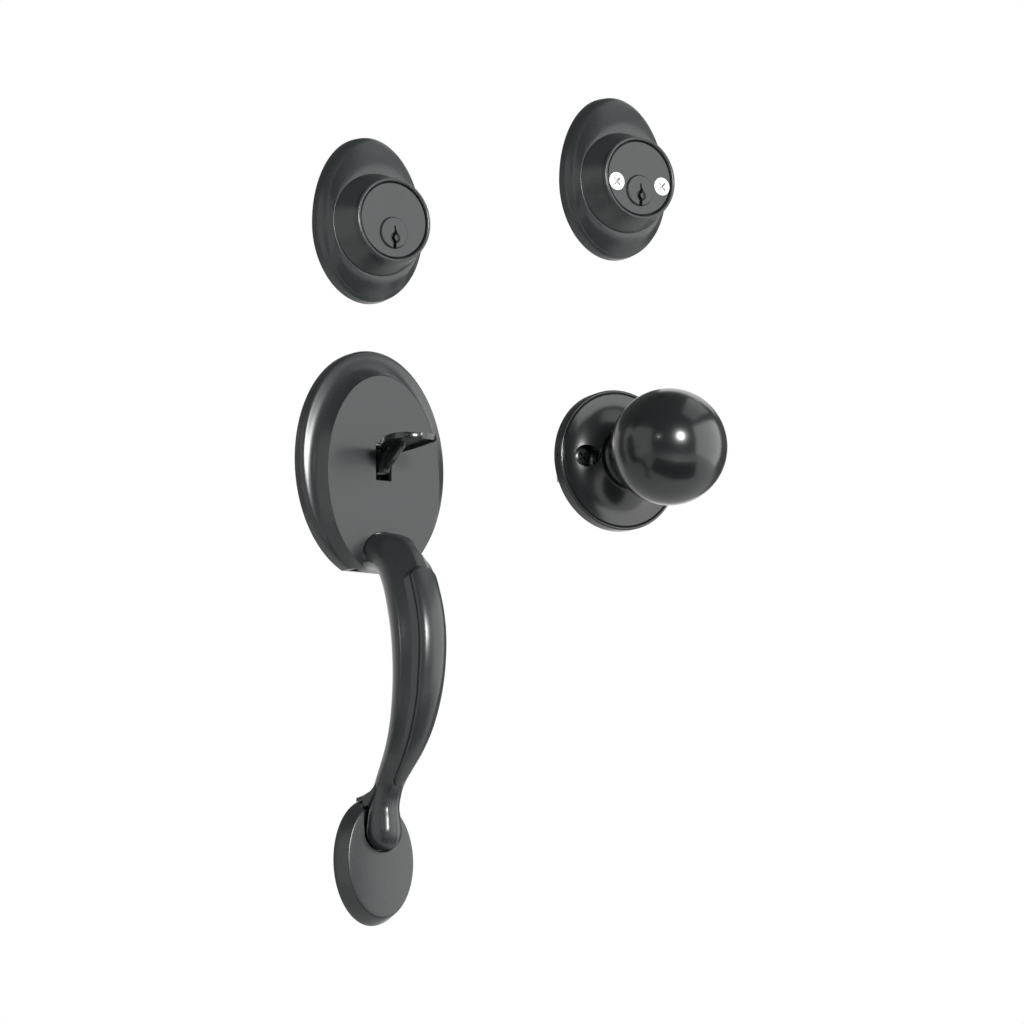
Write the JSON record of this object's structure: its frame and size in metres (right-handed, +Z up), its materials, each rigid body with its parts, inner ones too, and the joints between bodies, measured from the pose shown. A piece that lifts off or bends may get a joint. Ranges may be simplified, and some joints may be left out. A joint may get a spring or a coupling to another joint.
{
  "type": "entry door handleset",
  "caption": "Entry door handleset laid out as a set: oval grip plate with thumb lever and curved grip, foot plate, keyed deadbolt trims, and a ball knob on a round rose.",
  "frame": {"origin": "centre of the grip plate's face, on the door's plane, midway between the two tapped posts", "axes": "+Z up, +Y into the door, fronts face -Y, +X to the right seen from the front"},
  "size_m": [0.2038, 0.1143, 0.3916],
  "materials": {
    "satin_black": "satin",
    "gloss_black": "gloss",
    "bright_steel": "bright",
    "brass": "machined",
    "spring_steel": "bright",
    "black_screw": "satin"
  },
  "bodies": {
    "root": {"outer_lock_plate": "satin_black", "outer_lock_collar": "satin_black", "outer_lock_housing": "satin_black", "outer_driver_pins": "spring_steel", "outer_pin_springs": "spring_steel", "outer_pin_cover": "bright_steel", "inner_lock_plate": "satin_black", "inner_lock_collar": "satin_black", "inner_lock_housing": "satin_black", "inner_driver_pins": "spring_steel", "inner_pin_springs": "spring_steel", "inner_pin_cover": "bright_steel", "inner_lock_screws": "bright_steel", "grip_plate": "satin_black", "plate_posts": "bright_steel", "thumb_pivot_pin": "bright_steel", "thumb_guard": "bright_steel", "grip_handle": "satin_black", "grip_root_screw": "bright_steel", "foot_plate": "satin_black", "knob_rose": "satin_black", "knob_mounting_plate": "bright_steel", "knob_bush": "brass", "knob_cage_spring": "spring_steel", "rose_screws": "black_screw"},
    "outer_plug": {"outer_lock_plug": "satin_black", "outer_key_pins": "brass", "outer_plug_clip": "spring_steel", "outer_tailpiece": "bright_steel", "outer_tail_pin": "spring_steel"},
    "inner_plug": {"inner_lock_plug": "satin_black", "inner_key_pins": "brass", "inner_plug_clip": "spring_steel", "inner_lock_cam": "bright_steel", "inner_cam_pin": "spring_steel"},
    "thumb": {"thumb_lever": "gloss_black", "thumb_spring": "spring_steel"},
    "knob": {"knob_ball": "gloss_black", "knob_shank": "bright_steel", "knob_spindle": "bright_steel", "knob_retaining_ring": "spring_steel"}
  },
  "joints": [
    {"name": "outer_plug_turn", "type": "hinge", "parent": "root", "child": "outer_plug", "pos_m": [0, 0, 0.1093], "axis": [0, 1, 0], "range_deg": [-90, 90]},
    {"name": "inner_plug_turn", "type": "hinge", "parent": "root", "child": "inner_plug", "pos_m": [0.1334, 0, 0.1426], "axis": [0, 1, 0], "range_deg": [-90, 90]},
    {"name": "thumb_press", "type": "hinge", "parent": "root", "child": "thumb", "pos_m": [0, -0.0066, 0.009], "axis": [1, 0, 0], "range_deg": [0, 14], "stiffness_Nm_per_rad": 0.2, "springref_deg": -20.05},
    {"name": "knob_turn", "type": "hinge", "parent": "root", "child": "knob", "pos_m": [0.1334, 0, 0.02], "axis": [0, 1, 0], "range_deg": [-60, 60], "stiffness_Nm_per_rad": 0.3}
  ]
}
